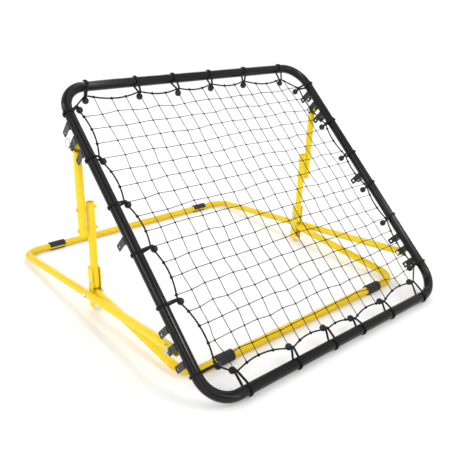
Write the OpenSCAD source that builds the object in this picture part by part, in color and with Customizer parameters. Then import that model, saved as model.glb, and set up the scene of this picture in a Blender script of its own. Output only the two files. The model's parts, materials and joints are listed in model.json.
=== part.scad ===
// Folding rebound net: a square net frame that leans back on two hinged U bases
// and a pair of two-piece struts. Millimetres, +Z up, the front faces -Y.

/* [Net frame] */
// centreline width of the net frame
frame_cw = 970; // [960:5:980]
// centreline height of the net frame, measured up its slope
frame_ch = 970; // [960:5:980]
// outside diameter of the net frame tube
frame_d = 30; // [29:1:31]
// centreline radius of the frame corners
frame_bend = 84; // [80:1:88]
// angle of the net plane above the floor, in degrees
net_angle = 43.3; // [42.5:0.1:44]
// height of the lower frame tube axis above the floor
frame_z = 23; // [22:1:25]

/* [Bases] */
// outside diameter of the base and strut tubes
base_d = 25; // [24.5:0.5:25]
// wall of every steel tube
tube_wall = 1.5; // [1.2:0.1:2]
// distance of the rear bar behind the lower frame tube
rear_bar_y = 1168; // [1150:1:1180]
// distance of the front bar behind the lower frame tube
front_bar_y = 150; // [140:1:160]
// centreline radius of the base corners
base_bend = 62; // [55:1:70]
// half the spacing of the inner tubes: front arms, yokes and lower struts
inner_x = 456.5; // [456:0.5:457]

/* [Lugs] */
// distance from the frame plane back to the lug holes
pin_back = 44.5; // [43:0.5:48]
// height up the frame of the hole that carries the rear base
low_pin_v = 170; // [166:1:174]
// height up the frame of the hole that carries the struts
high_pin_v = 802; // [798:1:806]
// height up the frame of the single middle lug
mid_pin_v = 476; // [470:1:484]
// spacing of the three lugs in a group
lug_step = 48; // [46:1:52]
// thickness of the lug plate
lug_t = 2.5; // [2:0.1:2.6]
// clear width between the two ears of a lug
lug_gap = 27; // [26.5:0.1:27.5]
// width of a lug along the tube
lug_w = 20; // [18:1:22]

/* [Struts] */
// distance of the strut axis behind the base pivot
strut_back = 4; // [3:0.5:4.5]
// height of the lower end of the upper strut above the base pivot
upper_from = 203; // [198:1:208]
// height of the upper end of the lower strut above the base pivot
lower_to = 304; // [298:1:310]
// height of the pin that holds the lower strut in its yoke
yoke_pin_z = 40; // [39:1:44]
// width of the open hook at the top of each strut
hook_w = 9.5; // [9:0.1:10]

/* [Hardware] */
// diameter of the hitch pins and pivot bolts
pin_d = 8; // [7.5:0.1:8.5]
// radial running clearance round pins and bolts
pin_gap = 0.05; // [0.03:0.01:0.09]
// wire diameter of the spring clips
clip_wire = 2.4; // [2:0.1:2.6]

/* [Feet] */
// wall of the rubber sleeves
foot_t = 4; // [3.5:0.1:4.5]
// depth of the flat worn under every sleeve
foot_flat = 0.8; // [0.6:0.1:1]
// length of a front sleeve
front_foot_l = 60; // [50:1:65]
// half the spacing of the two front sleeves
front_foot_x = 328; // [300:2:340]
// length of a rear sleeve
rear_foot_l = 62; // [50:1:70]
// half the spacing of the two rear sleeves
rear_foot_x = 352; // [330:2:360]

/* [Net] */
// number of strings each way
strings = 17; // [17:1:17]
// spacing of the strings
mesh = 48.3; // [48:0.1:48.5]
// side of the square section of a string
string_t = 2.2; // [1.8:0.1:2.4]
// radius of the rope round the net
rope_r = 2.5; // [2.2:0.1:2.5]
// distance from the centre of a tie ball to the rope its tie holds
rope_gap = 14; // [14:0.5:15]
// sag of the rope between two ties, as a share of their spacing
rope_sag = 0.1; // [0.08:0.01:0.11]
// distance of the centre of a tie ball behind the net
ball_back = 12; // [11.5:0.1:12.5]
// distance a side ball hangs down the slope from its place on the rope
ball_hang = 4; // [3:0.1:4]
// radius of a tie ball
ball_r = 10.2; // [9.8:0.1:10.4]
// radius of the elastic cord of a tie
cord_r = 2; // [1.8:0.1:2]

/* [Hidden] */
$fn = 48;

frame_r = frame_d / 2;
base_r = base_d / 2;
pin_r = pin_d / 2;
frame_x = frame_cw / 2;
foot_r = base_r + foot_t;
bar_z = foot_r - foot_flat;
rear_slot = 18;
tie_wrap_r = frame_r + cord_r + 0.1;
y_mid = (rear_bar_y + foot_r - tie_wrap_r - cord_r) / 2;

// pivots in the side view, as [y, z] with y from the lower frame tube axis
low_pin = [low_pin_v * cos(net_angle) + pin_back * sin(net_angle),
           frame_z + low_pin_v * sin(net_angle) - pin_back * cos(net_angle)];
high_pin = [high_pin_v * cos(net_angle) + pin_back * sin(net_angle),
            frame_z + high_pin_v * sin(net_angle) - pin_back * cos(net_angle)];
rear_bar = [rear_bar_y, bar_z];
front_bar = [front_bar_y, bar_z];
rear_angle = atan2(rear_bar[1] - low_pin[1], rear_bar[0] - low_pin[0]);
rear_len = norm(rear_bar - low_pin);
// equal legs: base pin to pivot is as long as pivot to strut pin
leg = (high_pin_v - low_pin_v) / 2 / cos(net_angle - rear_angle);
pivot = low_pin + leg * [cos(rear_angle), sin(rear_angle)];
front_angle = atan2(pivot[1] - front_bar[1], pivot[0] - front_bar[0]);
front_len = norm(pivot - front_bar);
strut_top = sqrt(leg * leg - strut_back * strut_back);
strut_lean = atan2(high_pin[1] - pivot[1], high_pin[0] - pivot[0]) - atan2(strut_top, strut_back);

// yoke section, measured from the pivot
yoke_gap = base_d + 0.8;
yoke_t = 2;
yoke_x = yoke_gap / 2 + yoke_t;
yoke_back = 20;
yoke_low = -55;
yoke_high = 86;
yoke_front = 9;
lower_from = yoke_pin_z - 21;
strut_bolt_z = [upper_from + 16, lower_to - 18];
arm_past_pivot = 10.5;
arm_past_pin = 13;
strut_past_pin = 12;

// lug section, measured from the tube axis
ear_in = lug_gap / 2;
ear_out = ear_in + lug_t;
ear_end = lug_w / 2;
ear_bend = 4.5;
web_back = frame_r + lug_t;

head_r = 6.5;
head_t = 3;
flat_head_t = 0.9;
clip_hole_r = clip_wire / 2 + 0.1;
clip_bend = 5.5;
clip_rise = 20;
clip_tail = 11;
clip_end = 3;
clip_flare = 4;
bolt_r = 3;
bolt_head_r = 5.5;
bolt_head_t = 4;
nut_t = 6;
drain_r = 2.5;
small = 0.02;

half_net = (strings - 1) / 2 * mesh;
net_v = frame_ch / 2;
pass_front = rope_r + cord_r + 1;
pass_rear = rope_r + cord_r + 0.6;
pass_ahead = 3.5;
leg_gap = 0.4;
leg_turn = 38;
leg_thin = 0.25;

// ties of each side as [place of the wrap along the tube, place of the ball along the
// tube, distance of the ball inside the tube axis], places from the middle of the side
top_ties = [[-398, -413, 42], [-231, -234, 47], [-92, -91, 50],
            [56, 46, 45], [212, 190, 47], [384, 365, 55]];
bottom_ties = [[-371, -380, 60], [-194, -185, 49], [-47, -42, 53],
               [79, 73, 42], [222, 221, 48], [393, 395, 61]];
left_ties = [[-398, -400, 73], [-210, -211, 59], [-56, -53, 58],
             [90, 90, 46], [241, 235, 36], [398, 413, 41]];
right_ties = [[-382, -384, 49], [-191, -203, 42], [-53, -64, 38],
              [79, 75, 47], [226, 216, 47], [398, 384, 70]];

steel_black = [0.06, 0.06, 0.065];
paint_yellow = [0.95, 0.78, 0.06];
rubber = [0.13, 0.13, 0.14];
zinc = [0.72, 0.73, 0.75];
cord_black = [0.1, 0.1, 0.11];

module on_frame() {
    translate([0, -y_mid, frame_z]) rotate([net_angle, 0, 0]) children();
}

module on_rear() {
    translate([0, low_pin[0] - y_mid, low_pin[1]]) rotate([rear_angle, 0, 0]) children();
}

module on_front() {
    translate([0, pivot[0] - y_mid, pivot[1]]) rotate([front_angle, 0, 0]) children();
}

module on_strut() {
    translate([0, pivot[0] - y_mid, pivot[1]]) rotate([strut_lean, 0, 0]) children();
}

module left_side() {
    mirror([1, 0, 0]) children();
}

module rod_x(x0, x1, r) {
    translate([x0, 0, 0]) rotate([0, 90, 0]) cylinder(h = x1 - x0, r = r);
}

module rod_y(y0, y1, r) {
    translate([0, y0, 0]) rotate([-90, 0, 0]) cylinder(h = y1 - y0, r = r);
}

module corner(bend, r) {
    rotate_extrude(angle = 90) translate([bend, 0]) circle(r = r);
}

// closed loop of tube, axis in the XY plane, lower side on the X axis
module ring_path(r) {
    straight_x = frame_x - frame_bend;
    for (s = [-1, 1])
        translate([s * frame_x, 0, 0]) rod_y(frame_bend, frame_ch - frame_bend, r);
    for (y = [0, frame_ch])
        translate([0, y, 0]) rod_x(-straight_x, straight_x, r);
    for (s = [0, 1]) mirror([s, 0, 0]) {
        translate([straight_x, frame_ch - frame_bend, 0]) corner(frame_bend, r);
        translate([straight_x, frame_bend, 0]) mirror([0, 1, 0]) corner(frame_bend, r);
    }
}

// U of tube: arms run from y = start to the bar at y = bar
module u_path(x, start, bar, r) {
    for (s = [0, 1]) mirror([s, 0, 0]) {
        translate([x, 0, 0]) rod_y(start, bar - base_bend, r);
        translate([x - base_bend, bar - base_bend, 0]) corner(base_bend, r);
    }
    translate([0, bar, 0]) rod_x(base_bend - x, x - base_bend, r);
}

module net_frame() {
    color(steel_black) on_frame() difference() {
        ring_path(frame_r);
        ring_path(frame_r - tube_wall);
        translate([0, 0, -frame_r - 1]) cylinder(h = frame_r, r = drain_r);
    }
}

module rear_base_frame() {
    color(paint_yellow) on_rear() difference() {
        u_path(frame_x, -arm_past_pin, rear_len, base_r);
        u_path(frame_x, -arm_past_pin - 1, rear_len, base_r - tube_wall);
        rod_x(-frame_cw, frame_cw, pin_r + pin_gap);
        translate([0, leg, 0]) rod_x(-frame_cw, frame_cw, pin_r + pin_gap);
    }
}

module front_base_frame() {
    color(paint_yellow) on_front() mirror([0, 1, 0]) difference() {
        u_path(inner_x, -arm_past_pivot, front_len, base_r);
        u_path(inner_x, -arm_past_pivot - 1, front_len, base_r - tube_wall);
        rod_x(-frame_cw, frame_cw, pin_r + pin_gap);
    }
}

module front_foot(x) {
    color(rubber) translate([x - front_foot_l / 2, front_bar_y - y_mid, bar_z]) difference() {
        rod_x(0, front_foot_l, foot_r);
        rod_x(-1, front_foot_l + 1, base_r + small);
        translate([-1, -foot_r, -bar_z - foot_r]) cube([front_foot_l + 2, 2 * foot_r, foot_r]);
    }
}

module front_left_foot() {
    front_foot(-front_foot_x);
}

module front_right_foot() {
    front_foot(front_foot_x);
}

module rear_foot(x) {
    color(rubber) translate([x - rear_foot_l / 2, rear_bar_y - y_mid, bar_z]) difference() {
        rod_x(0, rear_foot_l, foot_r);
        rod_x(-1, rear_foot_l + 1, base_r + small);
        translate([-1, -foot_r, -bar_z - foot_r]) cube([rear_foot_l + 2, 2 * foot_r, foot_r]);
        rotate([30, 0, 0]) translate([-1, -2 * foot_r, -rear_slot / 2])
            cube([rear_foot_l + 2, 2 * foot_r, rear_slot]);
    }
}

module rear_left_foot() {
    rear_foot(-rear_foot_x);
}

module rear_right_foot() {
    rear_foot(rear_foot_x);
}

// one U-shaped lug, welded behind the frame tube, on the right side of the frame
module lug(v) {
    translate([frame_x, v, 0]) difference() {
        union() {
            for (s = [0, 1]) mirror([s, 0, 0]) {
                translate([ear_in, -lug_w / 2, -pin_back - ear_end + ear_bend])
                    cube([lug_t, lug_w, pin_back + ear_end - ear_bend - 6]);
                translate([ear_in, ear_bend - lug_w / 2, -pin_back - ear_end])
                    cube([lug_t, lug_w - 2 * ear_bend, 2 * ear_bend]);
                for (y = [ear_bend - lug_w / 2, lug_w / 2 - ear_bend])
                    translate([0, y, -pin_back - ear_end + ear_bend])
                        rod_x(ear_in, ear_out, ear_bend);
            }
            translate([-ear_out, -lug_w / 2, -web_back]) cube([2 * ear_out, lug_w, lug_t + 3]);
        }
        rod_y(-lug_w, lug_w, frame_r + small);
        translate([0, 0, -pin_back]) rod_x(-ear_out - 1, ear_out + 1, pin_r + pin_gap);
    }
}

module lug_group(v) {
    for (k = [-1, 0, 1]) lug(v + k * lug_step);
}

module right_low_lugs() {
    color(steel_black) on_frame() lug_group(low_pin_v);
}

module left_low_lugs() {
    left_side() right_low_lugs();
}

module right_mid_lug() {
    color(steel_black) on_frame() lug(mid_pin_v);
}

module left_mid_lug() {
    left_side() right_mid_lug();
}

module right_high_lugs() {
    color(steel_black) on_frame() lug_group(high_pin_v);
}

module left_high_lugs() {
    left_side() right_high_lugs();
}

// headed pin along +X from x0 to x1 with a cross hole for its clip at x_clip
module headed_pin(x0, x1, x_clip, thick = head_t) {
    difference() {
        union() {
            rod_x(x0, x1, pin_r);
            rod_x(x0 - thick, x0, head_r);
        }
        translate([x_clip, 0, -pin_d]) cylinder(h = 2 * pin_d, r = clip_hole_r);
    }
}

// spring clip: a straight leg through the pin, a bend above it and a return leg
module spring_clip() {
    w = clip_wire / 2;
    translate([0, 0, -clip_tail]) cylinder(h = clip_tail + clip_rise, r = w);
    translate([clip_bend, 0, clip_rise]) rotate([90, 0, 0]) rotate_extrude(angle = 180)
        translate([clip_bend, 0]) circle(r = w);
    translate([2 * clip_bend, 0, clip_end]) cylinder(h = clip_rise - clip_end, r = w);
    translate([2 * clip_bend + clip_flare, 0, clip_end]) rotate([90, 0, 0]) rotate([0, 0, 180])
        rotate_extrude(angle = 70) translate([clip_flare, 0]) circle(r = w);
}

pin_x0 = frame_x - ear_out;
pin_x1 = frame_x + ear_out + 9;
pin_clip_x = frame_x + ear_out + 3.5;

module right_base_pin() {
    color(zinc) on_rear() headed_pin(pin_x0 - 0.2, pin_x1, pin_clip_x);
}

module left_base_pin() {
    left_side() right_base_pin();
}

module right_base_clip() {
    color(zinc) on_rear() translate([pin_clip_x, 0, 0]) spring_clip();
}

module left_base_clip() {
    left_side() right_base_clip();
}

module right_strut_pin() {
    color(zinc) on_frame() translate([0, high_pin_v, -pin_back]) rotate([-net_angle, 0, 0])
        headed_pin(pin_x0 - 0.2, pin_x1, pin_clip_x);
}

module left_strut_pin() {
    left_side() right_strut_pin();
}

module right_strut_clip() {
    color(zinc) on_frame() translate([pin_clip_x, high_pin_v, -pin_back])
        rotate([-net_angle, 0, 0]) spring_clip();
}

module left_strut_clip() {
    left_side() right_strut_clip();
}

pivot_nut_x = inner_x - yoke_x - 1.2;

module right_pivot_bolt() {
    color(zinc) on_strut() {
        rod_x(pivot_nut_x - nut_t - 1.5, frame_x + base_r, pin_r);
        rod_x(frame_x + base_r, frame_x + base_r + 4.5, 7);
    }
}

module left_pivot_bolt() {
    left_side() right_pivot_bolt();
}

module right_pivot_nut() {
    color(zinc) on_strut() difference() {
        translate([pivot_nut_x - nut_t, 0, 0]) rotate([0, 90, 0]) cylinder(h = nut_t, r = 7.5, $fn = 6);
        rod_x(pivot_nut_x - nut_t - 1, pivot_nut_x + 1, pin_r + small);
    }
}

module left_pivot_nut() {
    left_side() right_pivot_nut();
}

module right_pivot_spacer() {
    color(zinc) on_strut() difference() {
        rod_x(inner_x + yoke_x + 0.15, frame_x - base_r - 0.05, 7.5);
        rod_x(inner_x, frame_x, pin_r + small);
    }
}

module left_pivot_spacer() {
    left_side() right_pivot_spacer();
}

module right_yoke() {
    color(paint_yellow) on_strut() translate([inner_x, 0, 0]) difference() {
        translate([-yoke_x, -yoke_front, yoke_low])
            cube([2 * yoke_x, yoke_front + yoke_back, yoke_high - yoke_low]);
        translate([-yoke_gap / 2, -yoke_front - 1, yoke_low - 1])
            cube([yoke_gap, yoke_front + 1 + yoke_back - yoke_t, yoke_high - yoke_low + 2]);
        rod_x(-yoke_x - 1, yoke_x + 1, pin_r + pin_gap);
        translate([0, strut_back, yoke_pin_z]) rod_x(-yoke_x - 1, yoke_x + 1, pin_r + small);
    }
}

module left_yoke() {
    left_side() right_yoke();
}

module right_lower_strut() {
    color(paint_yellow) on_strut() translate([inner_x, strut_back, 0]) difference() {
        translate([0, 0, lower_from]) cylinder(h = lower_to - lower_from, r = base_r);
        translate([0, 0, lower_from - 1])
            cylinder(h = lower_to - lower_from + 2, r = base_r - tube_wall);
        translate([0, 0, yoke_pin_z]) rod_x(-base_d, base_d, pin_r + small);
        for (z = strut_bolt_z) translate([0, 0, z]) rod_x(-base_d, base_d, bolt_r + small);
    }
}

module left_lower_strut() {
    left_side() right_lower_strut();
}

module right_upper_strut() {
    color(paint_yellow) on_strut() translate([frame_x, strut_back, 0]) difference() {
        translate([0, 0, upper_from])
            cylinder(h = strut_top + strut_past_pin - upper_from, r = base_r);
        translate([0, 0, upper_from - 1])
            cylinder(h = strut_top + strut_past_pin - upper_from + 2, r = base_r - tube_wall);
        for (z = strut_bolt_z) translate([0, 0, z]) rod_x(-base_d, base_d, bolt_r + small);
        translate([0, 0, strut_top]) {
            rod_x(-base_d, base_d, hook_w / 2);
            rotate([net_angle - strut_lean, 0, 0]) translate([-base_d, -2 * base_d, -hook_w / 2])
                cube([2 * base_d, 2 * base_d, hook_w]);
        }
    }
}

module left_upper_strut() {
    left_side() right_upper_strut();
}

module right_strut_bolts() {
    color(paint_yellow) on_strut() for (z = strut_bolt_z) translate([0, strut_back, z]) {
        rod_x(inner_x - base_r - nut_t - 2, frame_x + base_r, bolt_r);
        rod_x(frame_x + base_r, frame_x + base_r + bolt_head_t, bolt_head_r);
    }
}

module left_strut_bolts() {
    left_side() right_strut_bolts();
}

module right_strut_nuts() {
    color(paint_yellow) on_strut() for (z = strut_bolt_z) translate([0, strut_back, z]) difference() {
        translate([inner_x - base_r - nut_t, 0, 0]) rotate([0, 90, 0])
            cylinder(h = nut_t, r = 6, $fn = 6);
        rod_x(inner_x - base_r - nut_t - 1, inner_x, bolt_r + small);
    }
}

module left_strut_nuts() {
    left_side() right_strut_nuts();
}

module right_strut_spacers() {
    color(paint_yellow) on_strut() for (z = strut_bolt_z) translate([0, strut_back, z]) difference() {
        rod_x(inner_x + base_r, frame_x - base_r, 6);
        rod_x(inner_x, frame_x, bolt_r + small);
    }
}

module left_strut_spacers() {
    left_side() right_strut_spacers();
}

yoke_clip_x = inner_x - yoke_x - 3.5;

module right_yoke_pin() {
    color(zinc) on_strut() translate([0, strut_back, yoke_pin_z]) mirror([1, 0, 0])
        headed_pin(-inner_x - yoke_x, -inner_x + yoke_x + 9, -yoke_clip_x, flat_head_t);
}

module left_yoke_pin() {
    left_side() right_yoke_pin();
}

module right_yoke_clip() {
    color(zinc) on_strut() translate([yoke_clip_x, strut_back, yoke_pin_z]) mirror([1, 0, 0])
        spring_clip();
}

module left_yoke_clip() {
    left_side() right_yoke_clip();
}

// corners of the rope loop, counter-clockwise, measured from the net centre
function toward(a, b, d) = a + d * (b - a) / norm(b - a);
rope_knots = concat(
    [for (t = bottom_ties) [t[1], t[2] - net_v - rope_gap + ball_hang]],
    [for (t = right_ties) [frame_x - t[2] + rope_gap, t[1] + ball_hang]],
    [for (k = [5 : -1 : 0]) [top_ties[k][1], net_v - top_ties[k][2] + rope_gap - ball_hang]],
    [for (k = [5 : -1 : 0]) [left_ties[k][2] - frame_x - rope_gap, left_ties[k][1] + ball_hang]]
);
rope_cuts = 6;
rope_sides = 8;
string_gap = 1.6 * rope_r;

function sag_at(a, b, t, sag) =
    a + (b - a) * t + 4 * sag * t * (1 - t) * [a[1] - b[1], b[0] - a[0]];
rope_line = [
    for (k = [0 : len(rope_knots) - 1]) for (j = [0 : rope_cuts - 1])
        sag_at(rope_knots[k], rope_knots[(k + 1) % len(rope_knots)], j / rope_cuts,
               k % 6 == 5 ? 0 : rope_sag)
];

function across(a, b) = [b[1] - a[1], a[0] - b[0]] / norm(b - a);

// both places where the rope crosses a string; i is the axis across the string
function rope_hits(i, at) = [
    for (k = [0 : len(rope_line) - 1])
        let (a = rope_line[k], b = rope_line[(k + 1) % len(rope_line)])
        if ((a[i] - at) * (b[i] - at) < 0)
            a[1 - i] + (at - a[i]) * (b[1 - i] - a[1 - i]) / (b[i] - a[i])
];

module net() {
    color(cord_black) on_frame() translate([0, net_v, -string_t / 2]) linear_extrude(string_t)
        for (k = [0 : strings - 1]) {
            at = -half_net + k * mesh;
            ends_x = rope_hits(1, at);
            ends_v = rope_hits(0, at);
            translate([min(ends_x) + string_gap, at - string_t / 2])
                square([max(ends_x) - min(ends_x) - 2 * string_gap, string_t]);
            translate([at - string_t / 2, min(ends_v) + string_gap])
                square([string_t, max(ends_v) - min(ends_v) - 2 * string_gap]);
        }
}

module border_rope() {
    n = len(rope_line);
    m = rope_sides;
    skin = [
        for (k = [0 : n - 1]) for (j = [0 : m - 1])
            let (out = across(rope_line[(k + n - 1) % n], rope_line[(k + 1) % n]))
            let (p = rope_line[k] + rope_r * cos(360 * j / m) * out)
            [p[0], p[1], rope_r * sin(360 * j / m)]
    ];
    faces = [
        for (k = [0 : n - 1]) for (j = [0 : m - 1]) for (h = [0, 1])
            let (a = k * m + j, b = k * m + (j + 1) % m)
            let (c = ((k + 1) % n) * m + (j + 1) % m, d = ((k + 1) % n) * m + j)
            h == 0 ? [a, b, c] : [a, c, d]
    ];
    color(cord_black) on_frame() translate([0, net_v, 0]) polyhedron(points = skin, faces = faces);
}

module rod_to(a, b, r) {
    d = b - a;
    translate(a) rotate([0, acos(d[2] / norm(d)), atan2(d[1], d[0])])
        cylinder(h = norm(d), r = r);
}

// elastic cord of one tie; the tube runs along Y and the net lies towards +X; knot is
// the place on the rope and ball the centre of the ball, both seen from the tube
module tie_cord(knot, ball) {
    rotate([90, 0, 0]) rotate_extrude() translate([tie_wrap_r, 0]) circle(r = cord_r);
    centre = [ball[0], ball[1], -ball_back];
    for (turn = [[knot[0], knot[1], -pass_rear], [knot[0] + pass_ahead, knot[1], pass_front]]) {
        tangent = atan2(abs(turn[2]), turn[0]) + acos(tie_wrap_r / norm([turn[0], turn[2]]));
        lean = tangent - leg_turn;
        rod_to(tie_wrap_r * [cos(lean), 0, sign(turn[2]) * sin(lean)], turn, cord_r - leg_thin);
        translate(turn) rotate([90, 0, 0]) rotate([0, 0, 60]) sphere(r = cord_r + 2 * leg_thin);
        rod_to(turn, toward(centre, turn, ball_r + leg_gap), cord_r - leg_thin);
    }
}

module tie_part(part, knot, ball) {
    if (part == "cord") tie_cord(knot, ball);
    else translate([ball[0], ball[1], -ball_back]) sphere(r = ball_r);
}

module along_left(part) {
    for (t = left_ties) translate([-frame_x, net_v + t[0], 0])
        tie_part(part, [t[2] - rope_gap, t[1] - t[0] + ball_hang], [t[2], t[1] - t[0]]);
}

module along_right(part) {
    for (t = right_ties) translate([frame_x, net_v + t[0], 0]) rotate([0, 0, 180])
        tie_part(part, [t[2] - rope_gap, t[0] - t[1] - ball_hang], [t[2], t[0] - t[1]]);
}

module along_top(part) {
    for (t = top_ties) translate([t[0], frame_ch, 0]) rotate([0, 0, -90])
        tie_part(part, [t[2] - rope_gap + ball_hang, t[1] - t[0]], [t[2], t[1] - t[0]]);
}

module along_bottom(part) {
    for (t = bottom_ties) translate([t[0], 0, 0]) rotate([0, 0, 90])
        tie_part(part, [t[2] - rope_gap + ball_hang, t[0] - t[1]], [t[2], t[0] - t[1]]);
}

module left_tie_cords() {
    color(cord_black) on_frame() along_left("cord");
}

module right_tie_cords() {
    color(cord_black) on_frame() along_right("cord");
}

module top_tie_cords() {
    color(cord_black) on_frame() along_top("cord");
}

module bottom_tie_cords() {
    color(cord_black) on_frame() along_bottom("cord");
}

module left_tie_balls() {
    color(cord_black) on_frame() along_left("ball");
}

module right_tie_balls() {
    color(cord_black) on_frame() along_right("ball");
}

module top_tie_balls() {
    color(cord_black) on_frame() along_top("ball");
}

module bottom_tie_balls() {
    color(cord_black) on_frame() along_bottom("ball");
}

rear_base_frame();
rear_left_foot();
rear_right_foot();
left_base_pin();
right_base_pin();
left_base_clip();
right_base_clip();
left_pivot_bolt();
right_pivot_bolt();
left_pivot_nut();
right_pivot_nut();
left_pivot_spacer();
right_pivot_spacer();
front_base_frame();
front_left_foot();
front_right_foot();
left_yoke();
right_yoke();
left_lower_strut();
right_lower_strut();
left_upper_strut();
right_upper_strut();
left_strut_bolts();
right_strut_bolts();
left_strut_nuts();
right_strut_nuts();
left_strut_spacers();
right_strut_spacers();
left_yoke_pin();
right_yoke_pin();
left_yoke_clip();
right_yoke_clip();
net_frame();
left_low_lugs();
right_low_lugs();
left_mid_lug();
right_mid_lug();
left_high_lugs();
right_high_lugs();
left_strut_pin();
right_strut_pin();
left_strut_clip();
right_strut_clip();
net();
border_rope();
top_tie_cords();
bottom_tie_cords();
left_tie_cords();
right_tie_cords();
top_tie_balls();
bottom_tie_balls();
left_tie_balls();
right_tie_balls();
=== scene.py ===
import json
import math

import bmesh
import bpy
import numpy as np
from mathutils import Matrix, Vector


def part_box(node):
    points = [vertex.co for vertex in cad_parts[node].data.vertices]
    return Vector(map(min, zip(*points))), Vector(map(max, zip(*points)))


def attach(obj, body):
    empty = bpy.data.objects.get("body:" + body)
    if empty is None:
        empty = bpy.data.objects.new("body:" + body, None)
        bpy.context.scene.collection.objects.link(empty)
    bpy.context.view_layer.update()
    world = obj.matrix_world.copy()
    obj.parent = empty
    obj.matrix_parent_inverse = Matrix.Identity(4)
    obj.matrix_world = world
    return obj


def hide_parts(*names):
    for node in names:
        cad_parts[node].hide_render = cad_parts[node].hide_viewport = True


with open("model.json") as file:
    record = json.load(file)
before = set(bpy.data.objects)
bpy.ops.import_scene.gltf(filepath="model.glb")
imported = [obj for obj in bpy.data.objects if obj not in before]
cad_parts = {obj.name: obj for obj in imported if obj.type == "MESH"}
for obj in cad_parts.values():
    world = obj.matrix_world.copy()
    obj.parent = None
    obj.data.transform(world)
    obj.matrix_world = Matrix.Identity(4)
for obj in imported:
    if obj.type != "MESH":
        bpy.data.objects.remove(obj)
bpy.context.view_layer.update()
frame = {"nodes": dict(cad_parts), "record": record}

FRAME_BODY = "net_frame_body"

# ---------------------------------------------------------------- sizes, in metres
NET_ANGLE = math.radians(43.3)
CENTRE_W = 0.970
HALF = CENTRE_W / 2
TUBE_R = 0.015
LUG_V = [0.122, 0.170, 0.218, 0.476, 0.754, 0.802, 0.850]
MESH = 0.0483
STRINGS = 17
ROPE_GAP = 0.014
ROPE_SAG = 0.1
BALL_BACK = 0.012
BALL_HANG = 0.004
BALL_R = 0.0102
CORD_R = 0.0019
WRAP_GAP = 0.0003
PASS_REAR = 0.0046
PASS_FRONT = 0.0056
PASS_AHEAD = 0.0035
STRING_R = 0.00118
STRING_UNEVEN = 0.00009
OVER_UNDER = 0.0004
NET_DIP = 0.0035
STRAND_R = 0.00138
STRAND_OFFSET = 0.00125
STRANDS = 3
ROPE_LAY = 0.016
WELD_R = 0.0013
WELD_HALF = 0.0098
WELD_OUT = 0.0149
WELD_BACK = 0.0056
# ties of each side: place of the wrap and of the ball along the tube, and distance of
# the ball inside the tube axis
TOP = [(-0.398, -0.413, 0.042), (-0.231, -0.234, 0.047), (-0.092, -0.091, 0.050),
       (0.056, 0.046, 0.045), (0.212, 0.190, 0.047), (0.384, 0.365, 0.055)]
BOTTOM = [(-0.371, -0.380, 0.060), (-0.194, -0.185, 0.049), (-0.047, -0.042, 0.053),
          (0.079, 0.073, 0.042), (0.222, 0.221, 0.048), (0.393, 0.395, 0.061)]
LEFT = [(-0.398, -0.400, 0.073), (-0.210, -0.211, 0.059), (-0.056, -0.053, 0.058),
        (0.090, 0.090, 0.046), (0.241, 0.235, 0.036), (0.398, 0.413, 0.041)]
RIGHT = [(-0.382, -0.384, 0.049), (-0.191, -0.203, 0.042), (-0.053, -0.064, 0.038),
         (0.079, 0.075, 0.047), (0.226, 0.216, 0.047), (0.398, 0.384, 0.070)]

# the net frame's own axes: x across, y up the slope, z out of the net's face
low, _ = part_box("net_frame")
TO_ROW = Matrix.Translation((0, low.y + TUBE_R, low.z + TUBE_R)) @ Matrix.Rotation(NET_ANGLE, 4, "X")
RNG = np.random.RandomState(11)


# ---------------------------------------------------------------- camera
def aim(location, right, up, lens):
    """Camera at location whose picture runs right and up along the two directions."""
    right, up = Vector(right).normalized(), Vector(up).normalized()
    back = right.cross(up).normalized()
    up = back.cross(right)
    data = bpy.data.cameras.new("camera")
    data.lens = lens
    data.sensor_width = 36
    data.clip_start = 0.05
    camera = bpy.data.objects.new("camera", data)
    camera.matrix_world = Matrix.Translation(location) @ Matrix((right, up, back)).transposed().to_4x4()
    bpy.context.scene.collection.objects.link(camera)
    bpy.context.scene.camera = camera


aim((-1.1626, -1.4434, 0.9243), (0.76696, -0.64162, 0.01031), (0.23301, 0.29342, 0.92715), 44.46)


# ---------------------------------------------------------------- materials
def nodes_of(name):
    """New material with its node tree and its Principled shader."""
    material = bpy.data.materials.new(name)
    material.use_nodes = True
    tree = material.node_tree
    shader = tree.nodes["Principled BSDF"]
    return material, tree, shader


def noise(tree, scale, detail, rough=0.55, stretch=None, distortion=0.0):
    """Noise fixed to the piece; stretch squeezes it along the axes."""
    coord = tree.nodes.new("ShaderNodeTexCoord")
    source = coord.outputs["Object"]
    if stretch is not None:
        mapping = tree.nodes.new("ShaderNodeMapping")
        mapping.inputs["Scale"].default_value = stretch
        tree.links.new(source, mapping.inputs["Vector"])
        source = mapping.outputs["Vector"]
    tex = tree.nodes.new("ShaderNodeTexNoise")
    tex.inputs["Scale"].default_value = scale
    tex.inputs["Detail"].default_value = detail
    tex.inputs["Roughness"].default_value = rough
    tex.inputs["Distortion"].default_value = distortion
    tree.links.new(source, tex.inputs["Vector"])
    return tex.outputs["Fac"]


def ramp(tree, source, stops):
    """Colour ramp between two (position, colour) stops."""
    node = tree.nodes.new("ShaderNodeValToRGB")
    for element, (at, colour) in zip(node.color_ramp.elements, stops):
        element.position = at
        element.color = (*colour, 1)
    tree.links.new(source, node.inputs["Fac"])
    return node.outputs["Color"]


def spread(tree, source, lowest, highest):
    """Stretch a value from 0 to 1 over lowest to highest."""
    node = tree.nodes.new("ShaderNodeMapRange")
    node.inputs["To Min"].default_value = lowest
    node.inputs["To Max"].default_value = highest
    tree.links.new(source, node.inputs["Value"])
    return node.outputs["Result"]


def bump(tree, shader, source, strength, distance):
    node = tree.nodes.new("ShaderNodeBump")
    node.inputs["Strength"].default_value = strength
    node.inputs["Distance"].default_value = distance
    tree.links.new(source, node.inputs["Height"])
    tree.links.new(node.outputs["Normal"], shader.inputs["Normal"])


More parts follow.
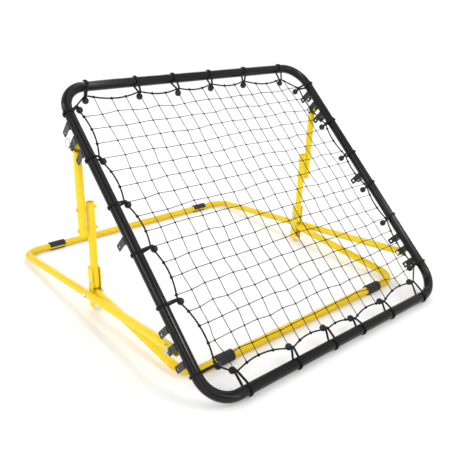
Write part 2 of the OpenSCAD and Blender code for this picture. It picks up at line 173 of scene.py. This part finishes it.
def mix(tree, factor, a, b):
    """Colour between a and b, each a colour or a socket."""
    node = tree.nodes.new("ShaderNodeMix")
    node.data_type = "RGBA"
    for socket, value in ((6, a), (7, b)):
        if isinstance(value, tuple):
            node.inputs[socket].default_value = (*value, 1)
        else:
            tree.links.new(value, node.inputs[socket])
    tree.links.new(factor, node.inputs[0])
    return node.outputs[2]


def painted_edge_highlight(tree, amount):
    """Painted highlight: lighter colour where the surface turns sharply outwards."""
    geometry = tree.nodes.new("ShaderNodeNewGeometry")
    node = tree.nodes.new("ShaderNodeMapRange")
    node.inputs["From Min"].default_value = 0.52
    node.inputs["From Max"].default_value = 0.62
    node.inputs["To Max"].default_value = amount
    tree.links.new(geometry.outputs["Pointiness"], node.inputs["Value"])
    return node.outputs["Result"]


def painted(name, deep, light, rough_low, rough_high, edge_highlight_colour, coat, shine):
    """Stove enamel on tube: faint orange peel, uneven gloss, and a painted highlight on sharp convex
    edges.
    """
    material, tree, shader = nodes_of(name)
    cloud = noise(tree, 9, 5)
    body = ramp(tree, cloud, [(0.3, deep), (0.72, light)])
    # painted highlight: the edge colour is laid over sharp convex edges
    edge_highlight_mask = painted_edge_highlight(tree, 0.55)
    tree.links.new(mix(tree, edge_highlight_mask, body, edge_highlight_colour), shader.inputs["Base Color"])
    fine = noise(tree, 55, 6, 0.65)
    tree.links.new(spread(tree, fine, rough_low, rough_high), shader.inputs["Roughness"])
    shader.inputs["Specular IOR Level"].default_value = shine
    shader.inputs["Coat Weight"].default_value = coat
    shader.inputs["Coat Roughness"].default_value = 0.12
    peel = noise(tree, 420, 2, 0.5)
    bump(tree, shader, peel, 0.12, 0.0004)
    return material


def rubbery(name, deep, light):
    """Moulded rubber sleeve with a pebbled grip surface."""
    material, tree, shader = nodes_of(name)
    body = ramp(tree, noise(tree, 60, 6, 0.7), [(0.3, deep), (0.75, light)])
    tree.links.new(body, shader.inputs["Base Color"])
    shader.inputs["Roughness"].default_value = 0.72
    shader.inputs["Specular IOR Level"].default_value = 0.3
    coord = tree.nodes.new("ShaderNodeTexCoord")
    cells = tree.nodes.new("ShaderNodeTexVoronoi")
    cells.inputs["Scale"].default_value = 260
    tree.links.new(coord.outputs["Object"], cells.inputs["Vector"])
    bump(tree, shader, cells.outputs["Distance"], 0.5, 0.0008)
    return material


def zinc(name):
    """Bright zinc plate: fine turning marks and slight clouding."""
    material, tree, shader = nodes_of(name)
    shader.inputs["Metallic"].default_value = 1.0
    cloud = noise(tree, 45, 5)
    tree.links.new(ramp(tree, cloud, [(0.3, (0.52, 0.53, 0.55)), (0.75, (0.78, 0.79, 0.8))]),
                   shader.inputs["Base Color"])
    lines = noise(tree, 260, 3, 0.6, stretch=(6, 1, 1))
    tree.links.new(spread(tree, lines, 0.18, 0.38), shader.inputs["Roughness"])
    bump(tree, shader, lines, 0.15, 0.0002)
    return material


def corded(name, deep, light, scale):
    """Braided or twisted cord: small slanting yarns, painted shade in the grooves between them, and a
    soft sheen.
    """
    material, tree, shader = nodes_of(name)
    coord = tree.nodes.new("ShaderNodeTexCoord")
    wave = tree.nodes.new("ShaderNodeTexWave")
    wave.bands_direction = "DIAGONAL"
    wave.inputs["Scale"].default_value = scale
    wave.inputs["Distortion"].default_value = 2.5
    tree.links.new(coord.outputs["Object"], wave.inputs["Vector"])
    body = ramp(tree, noise(tree, 300, 5, 0.7), [(0.25, deep), (0.8, light)])
    # painted shade: the deep colour is laid in the grooves of the yarn relief
    shade = mix(tree, wave.outputs["Fac"], deep, body)
    tree.links.new(shade, shader.inputs["Base Color"])
    shader.inputs["Roughness"].default_value = 0.75
    shader.inputs["Sheen Weight"].default_value = 0.06
    shader.inputs["Specular IOR Level"].default_value = 0.2
    bump(tree, shader, wave.outputs["Fac"], 0.6, 0.0006)
    return material


def moulded(name, deep, light):
    """Polished injection-moulded ball with faint flow marks."""
    material, tree, shader = nodes_of(name)
    flow = noise(tree, 70, 4, 0.5, distortion=1.5)
    tree.links.new(ramp(tree, flow, [(0.3, deep), (0.8, light)]), shader.inputs["Base Color"])
    tree.links.new(spread(tree, noise(tree, 240, 4), 0.14, 0.3), shader.inputs["Roughness"])
    shader.inputs["Specular IOR Level"].default_value = 0.3
    shader.inputs["Coat Weight"].default_value = 0.15
    shader.inputs["Coat Roughness"].default_value = 0.08
    bump(tree, shader, flow, 0.06, 0.0004)
    return material


# the fifth colour of each enamel is a painted highlight on sharp convex edges
BLACK = painted("black_enamel", (0.003, 0.003, 0.0034), (0.006, 0.0056, 0.0058), 0.12, 0.22,
                (0.04, 0.04, 0.042), 0.12, 0.18)
YELLOW = painted("yellow_enamel", (0.69, 0.46, 0.001), (0.75, 0.515, 0.002), 0.3, 0.46,
                 (0.93, 0.72, 0.04), 0.08, 0.18)
RUBBER = rubbery("rubber", (0.012, 0.012, 0.013), (0.032, 0.032, 0.034))
ZINC = zinc("zinc_plate")
TWINE = corded("net_twine", (0.004, 0.004, 0.005), (0.018, 0.018, 0.02), 900)
ROPE = corded("border_rope", (0.003, 0.003, 0.0035), (0.016, 0.016, 0.018), 500)
ELASTIC = corded("elastic_cord", (0.003, 0.003, 0.0035), (0.014, 0.014, 0.016), 700)
BALL = moulded("ball_plastic", (0.003, 0.003, 0.0035), (0.008, 0.008, 0.009))
# its fifth colour is also a painted highlight on sharp convex edges
WELD = painted("weld_bead", (0.005, 0.005, 0.0055), (0.011, 0.011, 0.012), 0.3, 0.5,
               (0.04, 0.04, 0.042), 0.04, 0.12)

MATERIAL_OF_SLOT = {"black_steel": BLACK, "yellow_steel": YELLOW, "rubber": RUBBER, "zinc_steel": ZINC,
                    "cord": TWINE, "ball_plastic": BALL}
for part in frame["record"]["subparts"]:
    mesh = frame["nodes"][part["node"]].data
    mesh.materials.clear()
    mesh.materials.append(MATERIAL_OF_SLOT[part["material_slot"]])


# ---------------------------------------------------------------- mesh helpers
def smooth(points, cuts, closed=False):
    """Catmull-Rom line through the points."""
    p = np.asarray(points, float)
    n = len(p)
    out = []
    spans = n if closed else n - 1
    for k in range(spans):
        a, b = p[k], p[(k + 1) % n]
        before = p[(k - 1) % n] if closed or k else 2 * a - b
        after = p[(k + 2) % n] if closed or k + 2 < n else 2 * b - a
        for t in np.arange(cuts) / cuts:
            out.append(0.5 * ((2 * a) + (b - before) * t + (2 * before - 5 * a + 4 * b - after) * t * t
                              + (3 * a - before - 3 * b + after) * t ** 3))
    if not closed:
        out.append(p[-1])
    return np.array(out)


def sweep(path, radius, sides, closed=False):
    """Vertices and faces of a tube along path; radius is a number or one per point."""
    p = np.asarray(path, float)
    n = len(p)
    r = np.full(n, radius) if np.isscalar(radius) else np.asarray(radius)
    if closed:
        tangent = np.roll(p, -1, 0) - np.roll(p, 1, 0)
    else:
        tangent = np.gradient(p, axis=0)
    tangent /= np.linalg.norm(tangent, axis=1)[:, None]
    side = np.cross(tangent[0], (0.0, 0.0, 1.0))
    if np.linalg.norm(side) < 0.1:
        side = np.cross(tangent[0], (0.0, 1.0, 0.0))
    frames = []
    for t in tangent:
        side = side - t * (side @ t)
        side /= np.linalg.norm(side)
        frames.append((side, np.cross(t, side)))
    angle = np.arange(sides) * 2 * math.pi / sides
    verts = [p[k] + r[k] * (math.cos(a) * frames[k][0] + math.sin(a) * frames[k][1])
             for k in range(n) for a in angle]
    faces = []
    for k in range(n if closed else n - 1):
        m = (k + 1) % n
        for j in range(sides):
            i = (j + 1) % sides
            faces.append((k * sides + j, k * sides + i, m * sides + i, m * sides + j))
    if not closed:
        faces.append(tuple(reversed(range(sides))))
        faces.append(tuple((n - 1) * sides + j for j in range(sides)))
    return verts, faces


class Soup:
    """Collects pieces of mesh in the net frame's own axes, and makes one object of them."""

    def __init__(self):
        self.verts, self.faces = [], []

    def add(self, verts, faces, at=None):
        base = len(self.verts)
        if at is not None:
            verts = [at @ Vector(v) for v in verts]
        self.verts.extend(tuple(v) for v in verts)
        self.faces.extend(tuple(base + i for i in f) for f in faces)

    def build(self, name, material, body, slot, replaced=()):
        mesh = bpy.data.meshes.new(name)
        mesh.from_pydata(self.verts, [], self.faces)
        mesh.materials.append(material)
        mesh.polygons.foreach_set("use_smooth", [True] * len(mesh.polygons))
        mesh.update()
        piece = bpy.data.objects.new(name, mesh)
        bpy.context.scene.collection.objects.link(piece)
        piece.data.transform(TO_ROW)
        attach(piece, body)
        if replaced:
            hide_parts(*replaced)


def lathe(profile, sides=28):
    """Surface of revolution round Z from (radius, height) pairs; ends at radius 0 close it."""
    verts, faces, rings = [], [], []
    for r, h in profile:
        if r < 1e-7:
            rings.append([len(verts)])
            verts.append((0, 0, h))
        else:
            rings.append(list(range(len(verts), len(verts) + sides)))
            verts.extend((r * math.cos(a), r * math.sin(a), h)
                         for a in np.arange(sides) * 2 * math.pi / sides)
    for low_ring, high_ring in zip(rings, rings[1:]):
        for j in range(sides):
            i = (j + 1) % sides
            if len(low_ring) == 1:
                faces.append((low_ring[0], high_ring[i], high_ring[j]))
            elif len(high_ring) == 1:
                faces.append((low_ring[j], low_ring[i], high_ring[0]))
            else:
                faces.append((low_ring[j], low_ring[i], high_ring[i], high_ring[j]))
    return verts, faces


def lump(radius, squash):
    """Small knot of cord: an icosphere pinched along three turns."""
    mesh = bmesh.new()
    bmesh.ops.create_icosphere(mesh, subdivisions=2, radius=radius)
    verts = []
    for v in mesh.verts:
        a = math.atan2(v.co.y, v.co.x)
        k = 1 + 0.12 * math.sin(3 * a + 400 * v.co.z)
        verts.append((v.co.x * squash[0] * k, v.co.y * squash[1] * k, v.co.z * squash[2]))
    mesh.verts.index_update()
    faces = [tuple(v.index for v in f.verts) for f in mesh.faces]
    mesh.free()
    return verts, faces


# ---------------------------------------------------------------- border rope
knots = ([(at, inside - HALF - ROPE_GAP + BALL_HANG) for _, at, inside in BOTTOM]
         + [(HALF - inside + ROPE_GAP, at + BALL_HANG) for _, at, inside in RIGHT]
         + [(at, HALF - inside + ROPE_GAP - BALL_HANG) for _, at, inside in reversed(TOP)]
         + [(inside - HALF - ROPE_GAP, at + BALL_HANG) for _, at, inside in reversed(LEFT)])
knots = np.array(knots)
rope_line = []
for k in range(len(knots)):
    a, b = knots[k], knots[(k + 1) % len(knots)]
    inward = np.array([a[1] - b[1], b[0] - a[0]])
    steps = max(6, int(np.linalg.norm(b - a) / 0.006))
    sag = 0 if k % 6 == 5 else ROPE_SAG
    for t in np.arange(steps) / steps:
        rope_line.append(a + (b - a) * t + 4 * sag * t * (1 - t) * inward)
rope_line = np.array(rope_line)
# a rope can't turn on a point: ease the corner at each tie
for _ in range(3):
    rope_line = 0.25 * np.roll(rope_line, 1, 0) + 0.5 * rope_line + 0.25 * np.roll(rope_line, -1, 0)
ROPE_POINTS = rope_line


def rope_at(fixed, value, sign):
    """Where a string at u or v = value meets the rope on the side given by sign."""
    other = 1 - fixed
    p, q = ROPE_POINTS, np.roll(ROPE_POINTS, -1, 0)
    best = None
    for a, b in zip(p, q):
        if (a[fixed] - value) * (b[fixed] - value) <= 0 and a[fixed] != b[fixed]:
            t = (value - a[fixed]) / (b[fixed] - a[fixed])
            hit = a + (b - a) * t
            if hit[other] * sign > 0 and (best is None or abs(hit[other]) > abs(best[other])):
                best = hit
    return best


def build_rope():
    """Three strands laid round the line of the rope."""
    line = smooth(np.c_[ROPE_POINTS, np.zeros(len(ROPE_POINTS))], 4, closed=True)
    line[:, 1] += HALF
    step = np.linalg.norm(np.roll(line, -1, 0) - line, axis=1)
    along = np.cumsum(step) - step[0]
    turns = round(along[-1] / ROPE_LAY)
    tangent = np.roll(line, -1, 0) - np.roll(line, 1, 0)
    tangent /= np.linalg.norm(tangent, axis=1)[:, None]
    out = np.cross(tangent, (0, 0, 1))
    soup = Soup()
    for strand in range(STRANDS):
        phase = 2 * math.pi * (turns * along / along[-1] + strand / STRANDS)
        offset = np.cos(phase)[:, None] * out + np.sin(phase)[:, None] * np.array([0, 0, 1.0])
        soup.add(*sweep(line + STRAND_OFFSET * offset, STRAND_R, 7, closed=True))
    soup.build("border_rope_laid", ROPE, FRAME_BODY, "cord", ["border_rope"])


build_rope()


# ---------------------------------------------------------------- net
def build_net():
    """Strings with a little slack and unevenness, a knot at each crossing and at the rope."""
    half = (STRINGS - 1) / 2 * MESH
    grid = np.zeros((STRINGS, STRINGS, 3))
    for i in range(STRINGS):
        for j in range(STRINGS):
            u, v = -half + i * MESH, -half + j * MESH
            pull = (abs(u / half) ** 3 + abs(v / half) ** 3) / 2
            grid[i, j] = (
                u + 0.0022 * math.sin(7.1 * v + 3.3 * u + 0.4) + 0.0018 * math.sin(23 * v + 1.1),
                v + 0.0024 * math.sin(6.2 * u - 2.7 * v + 1.3) + 0.0018 * math.sin(19 * u + 0.6),
                -NET_DIP * (1 - (u / half) ** 2) * (1 - (v / half) ** 2))
            jitter = RNG.normal(0, 1, 3) * (0.0013, 0.0013, 0.0004)
            grid[i, j] += jitter * (1 + pull)
    strings, crossings = Soup(), Soup()
    knot = lump(0.0027, (1.15, 1.15, 0.8))
    small = lump(0.0042, (1.1, 1.1, 0.95))
    for fixed in (0, 1):
        for k in range(STRINGS):
            row = grid[k, :, :] if fixed == 0 else grid[:, k, :]
            first = rope_at(fixed, row[0][fixed], -1)
            last = rope_at(fixed, row[-1][fixed], 1)
            points = [(*first, 0.0)] + [tuple(p) for p in row] + [(*last, 0.0)]
            line = smooth(points, 6)
            line[:, 1] += HALF
            line[:, 2] += OVER_UNDER if fixed else -OVER_UNDER
            thick = STRING_R + STRING_UNEVEN * np.sin(np.arange(len(line)) * 1.7)
            strings.add(*sweep(line, thick, 6))
            for end in (first, last):
                spin = Matrix.Rotation(RNG.uniform(0, 3.1), 4, "Z")
                strings.add(*small, Matrix.Translation((end[0], end[1] + HALF, 0)) @ spin)
    for i in range(STRINGS):
        for j in range(STRINGS):
            p = grid[i, j]
            spin = Matrix.Rotation(math.pi / 4 + RNG.normal(0, 0.25), 4, "Z")
            crossings.add(*knot, Matrix.Translation((p[0], p[1] + HALF, p[2])) @ spin)
    strings.build("net_strings", TWINE, FRAME_BODY, "cord", ["net"])
    crossings.build("net_knots", TWINE, FRAME_BODY, "cord")


build_net()


# ---------------------------------------------------------------- ball ties
def tie_paths(knot, ball):
    """Two strands from the ball, past the rope, round the tube and back; the tube runs
    along Y and the net is towards +X."""
    wrap = TUBE_R + CORD_R + WRAP_GAP
    turns = [(knot[0], -PASS_REAR), (knot[0] + PASS_AHEAD, PASS_FRONT)]
    centre = np.array([ball[0], ball[1], -BALL_BACK])
    paths = []
    for beside in (-1, 1):
        y_tube, y_knot = beside * CORD_R * 1.02, knot[1] + beside * CORD_R * 0.9
        halves = []
        for x, z in turns:
            lean = math.atan2(abs(z), x) + math.acos(wrap / math.hypot(x, z))
            turn = np.array([x, y_knot, z])
            start = centre + (turn - centre) * (BALL_R - 0.001) / np.linalg.norm(turn - centre)
            start[1] = ball[1] + beside * 0.0014
            halves.append((lean, [start, start + (turn - start) * 0.5, turn]))
        below, above = halves
        arc = [(wrap * math.cos(a), y_tube, wrap * math.sin(a))
               for a in np.linspace(-below[0], above[0] - 2 * math.pi, 20)]
        line = below[1] + arc + above[1][::-1]
        paths.append(smooth(line, 4))
    return paths


def ball_profile():
    """Moulded ball with a parting line and a dimple on the side that the cord comes from."""
    points = []
    for a in np.linspace(-90, 90, 31):
        t = math.radians(a)
        r = BALL_R - (0.00022 if abs(a) < 2.5 else 0)
        points.append((r * math.cos(t), r * math.sin(t)))
    points = [(0.0, -BALL_R)] + points[1:-3]
    points += [(0.0034, BALL_R * 0.93), (0.0026, BALL_R * 0.8), (0.0, BALL_R * 0.78)]
    return points


BALL_MESH = lathe(ball_profile())


def build_ties(side, ties):
    """ties: place and turn of the tie's axes, then knot and ball seen from the tube."""
    cords, balls = Soup(), Soup()
    for at, angle, knot, ball in ties:
        place = Matrix.Translation((at[0], at[1], 0)) @ Matrix.Rotation(angle, 4, "Z")
        for path in tie_paths(knot, ball):
            cords.add(*sweep(path, CORD_R * 0.96, 8), place)
        centre = Vector((*ball, -BALL_BACK))
        to_knot = (Vector((*knot, 0)) - centre).normalized()
        seat = Matrix.Translation(centre) @ to_knot.to_track_quat("Z", "Y").to_matrix().to_4x4()
        balls.add(*BALL_MESH, place @ seat)
    cords.build(f"{side}_tie_elastic", ELASTIC, FRAME_BODY, "cord", [f"{side}_tie_cords"])
    balls.build(f"{side}_tie_moulded_balls", BALL, FRAME_BODY, "ball_plastic", [f"{side}_tie_balls"])


build_ties("left", [((-HALF, HALF + wrap), 0.0,
                     (inside - ROPE_GAP, at - wrap + BALL_HANG), (inside, at - wrap))
                    for wrap, at, inside in LEFT])
build_ties("right", [((HALF, HALF + wrap), math.pi,
                      (inside - ROPE_GAP, wrap - at - BALL_HANG), (inside, wrap - at))
                     for wrap, at, inside in RIGHT])
build_ties("top", [((wrap, CENTRE_W), -math.pi / 2,
                    (inside - ROPE_GAP + BALL_HANG, at - wrap), (inside, at - wrap))
                   for wrap, at, inside in TOP])
build_ties("bottom", [((wrap, 0.0), math.pi / 2,
                       (inside - ROPE_GAP + BALL_HANG, wrap - at), (inside, wrap - at))
                      for wrap, at, inside in BOTTOM])


# ---------------------------------------------------------------- weld beads at the lugs
def build_welds():
    """A rippled bead along each ear of each lug."""
    soup = Soup()
    n = 24
    for side in (-1, 1):
        for v in LUG_V:
            for ear in (-1, 1):
                along = np.linspace(-WELD_HALF, WELD_HALF, n)
                ripple = 0.00022 * np.sin(np.arange(n) * 1.9 + v * 40)
                path = [(side * HALF + ear * (WELD_OUT + 0.3 * ripple[k]), v + along[k], -WELD_BACK)
                        for k in range(n)]
                soup.add(*sweep(path, WELD_R + ripple, 8))
    soup.build("lug_welds", WELD, FRAME_BODY, "black_steel")


build_welds()


# ---------------------------------------------------------------- studio
FLOOR_HALF = 40
FLOOR_WHITE = 0.90
DOME_LOW = 0.3
DOME_TOP = 0.6
# glowing bands of the dome: axis of the direction, its value there, half width, strength;
# three draw lines along the enamel and the last one whitens the horizon
PANELS = [("X", -0.62, 0.045, 5.5), ("X", 0.42, 0.045, 5.5), ("Z", 0.5, 0.032, 5.0),
          ("Z", 0.0, 0.24, 0.82)]


def floor():
    w = FLOOR_HALF
    mesh = bpy.data.meshes.new("floor")
    mesh.from_pydata([(-w, -w, 0), (w, -w, 0), (w, w, 0), (-w, w, 0)], [], [(0, 1, 2, 3)])
    piece = bpy.data.objects.new("floor", mesh)
    material, _, shader = nodes_of("floor_paper")
    shader.inputs["Base Color"].default_value = (*[FLOOR_WHITE] * 3, 1)
    shader.inputs["Roughness"].default_value = 0.9
    mesh.materials.append(material)
    bpy.context.scene.collection.objects.link(piece)


def softbox(name, location, target, energy, size):
    data = bpy.data.lights.new(name, "AREA")
    data.energy = energy
    data.shape = "RECTANGLE"
    data.size, data.size_y = size
    lamp = bpy.data.objects.new(name, data)
    lamp.location = location
    lamp.rotation_euler = (Vector(target) - Vector(location)).to_track_quat("-Z", "Y").to_euler()
    bpy.context.scene.collection.objects.link(lamp)


def math_node(tree, operation, *values):
    """One Math node; a value is a number or a socket to link."""
    node = tree.nodes.new("ShaderNodeMath")
    node.operation = operation
    for socket, value in zip(node.inputs, values):
        if isinstance(value, (int, float)):
            socket.default_value = value
        else:
            tree.links.new(value, socket)
    return node.outputs[0]


def smooth_step(tree, value, from_min, from_max, to_min, to_max):
    node = tree.nodes.new("ShaderNodeMapRange")
    node.interpolation_type = "SMOOTHSTEP"
    limits = {"From Min": from_min, "From Max": from_max, "To Min": to_min, "To Max": to_max}
    for socket, limit in limits.items():
        node.inputs[socket].default_value = limit
    tree.links.new(value, node.inputs["Value"])
    return node.outputs["Result"]


def studio_world():
    """Soft white dome, brighter overhead, with the glowing bands of PANELS."""
    world = bpy.data.worlds.new("studio")
    world.use_nodes = True
    tree = world.node_tree
    background = tree.nodes["Background"]
    background.inputs["Color"].default_value = (1, 1, 1, 1)
    coord = tree.nodes.new("ShaderNodeTexCoord")
    split = tree.nodes.new("ShaderNodeSeparateXYZ")
    tree.links.new(coord.outputs["Generated"], split.inputs["Vector"])
    total = smooth_step(tree, split.outputs["Z"], 0.05, 0.85, DOME_LOW, DOME_TOP)
    for axis, centre, half_width, strength in PANELS:
        away = math_node(tree, "ABSOLUTE", math_node(tree, "SUBTRACT", split.outputs[axis], centre))
        glow = smooth_step(tree, away, 0.4 * half_width, half_width, strength, 0)
        total = math_node(tree, "ADD", total, glow)
    tree.links.new(total, background.inputs["Strength"])
    bpy.context.scene.world = world


floor()
softbox("key", (0.6, -2.4, 3.0), (0, 0, 0.3), 29, (1.3, 0.4))
softbox("fill", (-3.2, -0.6, 1.8), (0, 0, 0.3), 11, (0.4, 1.2))
softbox("back", (1.8, 2.6, 2.4), (0, 0.2, 0.2), 12, (1.2, 0.4))
studio_world()
bpy.context.scene.view_settings.view_transform = "Standard"
